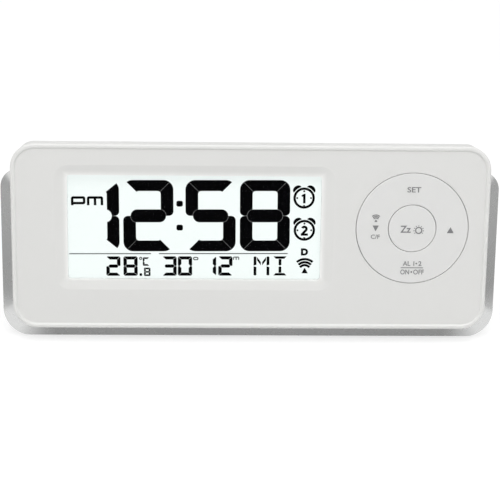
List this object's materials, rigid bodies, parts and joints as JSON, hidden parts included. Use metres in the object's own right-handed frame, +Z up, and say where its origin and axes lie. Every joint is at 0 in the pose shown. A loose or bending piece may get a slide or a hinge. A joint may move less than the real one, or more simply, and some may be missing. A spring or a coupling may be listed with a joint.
{
  "type": "alarm clock",
  "caption": "Bedside alarm clock with a leaning white front, wide numeric display, flush round four-way key with a centre button, silver rear tub and hinged battery door",
  "frame": {"origin": "middle of the box's underside, on the plane that the rubber feet stand on", "axes": "+X to the right along the clock, +Y to the back, +Z up; the front faces -Y and leans back"},
  "size_m": [0.1502, 0.0354, 0.061],
  "materials": {
    "white_plastic": "fine moulded grain, matt white",
    "silver_paint": "satin silver paint on plastic",
    "key_plastic": "smooth matt white",
    "clear_acrylic": "polished clear acrylic",
    "display_glass": "polished",
    "polariser_film": "smooth film",
    "light_guide_acrylic": "clear acrylic with printed dots",
    "white_inner_plastic": "matt white",
    "led_resin": "clear resin",
    "zebra_rubber": "striped silicone",
    "grey_inner_plastic": "moulded, unpainted",
    "black_inner_plastic": "moulded",
    "keypad_silicone": "matt silicone",
    "carbon": "matt carbon",
    "board_laminate": "solder mask",
    "screw_steel": "zinc plated",
    "crystal_can": "drawn can",
    "chip_resin": "cast resin",
    "capacitor_sleeve": "shrunk sleeve",
    "thermistor_bead": "dipped resin",
    "ferrite": "sintered",
    "copper_wire": "enamelled copper",
    "brass_sheet": "rolled",
    "lead_red": "insulation",
    "lead_black": "insulation",
    "cell_jacket": "printed jacket",
    "nickel_sheet": "nickel plated",
    "foot_rubber": "matt"
  },
  "bodies": {
    "clock_body": {"front_shell": "white_plastic", "rear_shell": "silver_paint", "window_lens": "clear_acrylic", "lcd_front_glass": "display_glass", "lcd_rear_glass": "display_glass", "front_polariser": "polariser_film", "rear_polariser": "polariser_film", "light_guide": "light_guide_acrylic", "reflector_film": "white_inner_plastic", "display_holder": "white_inner_plastic", "backlight_leds": "led_resin", "zebra_strip": "zebra_rubber", "key_carrier": "grey_inner_plastic", "buzzer_case": "black_inner_plastic", "keypad_mat": "keypad_silicone", "contact_pills": "carbon", "main_board": "board_laminate", "receiver_board": "board_laminate", "board_screws": "screw_steel", "case_screws": "screw_steel", "quartz_crystal": "crystal_can", "controller_chip": "chip_resin", "receiver_chip": "chip_resin", "capacitors": "capacitor_sleeve", "thermistor": "thermistor_bead", "ferrite_rod": "ferrite", "antenna_coil": "copper_wire", "antenna_leads": "copper_wire", "piezo_disc": "brass_sheet", "battery_lead_red": "lead_red", "battery_lead_black": "lead_black", "buzzer_leads": "lead_black", "upper_cell": "cell_jacket", "lower_cell": "cell_jacket", "positive_contact": "nickel_sheet", "negative_contact": "nickel_sheet", "bridge_contact": "nickel_sheet", "battery_springs": "nickel_sheet", "rubber_feet": "foot_rubber"},
    "battery_door": {"battery_door": "silver_paint"},
    "rocker_gimbal": {"rocker_gimbal": "grey_inner_plastic"},
    "ring_key": {"ring_key": "key_plastic"},
    "centre_button": {"centre_button": "key_plastic"}
  },
  "joints": [
    {"name": "ring_rock_up_down", "type": "hinge", "parent": "clock_body", "child": "rocker_gimbal", "pos_m": [0.0484, -0.00926, 0.03581], "axis": [1, 0, 0], "range_deg": [-1, 1], "stiffness_Nm_per_rad": 0.6, "deforming": ["keypad_mat"]},
    {"name": "ring_rock_left_right", "type": "hinge", "parent": "rocker_gimbal", "child": "ring_key", "pos_m": [0.0484, -0.00926, 0.03581], "axis": [0, 0.1392, 0.9903], "range_deg": [-1, 1], "stiffness_Nm_per_rad": 0.6, "deforming": ["keypad_mat"]},
    {"name": "centre_button_press", "type": "slide", "parent": "clock_body", "child": "centre_button", "axis": [0, 0.9903, -0.1392], "range_m": [0, 0.0008], "stiffness_N_per_m": 1500, "deforming": ["keypad_mat"]},
    {"name": "battery_door_hinge", "type": "hinge", "parent": "clock_body", "child": "battery_door", "pos_m": [0, 0.01591, 0.00577], "axis": [-1, 0, 0], "range_deg": [0, 80]}
  ]
}
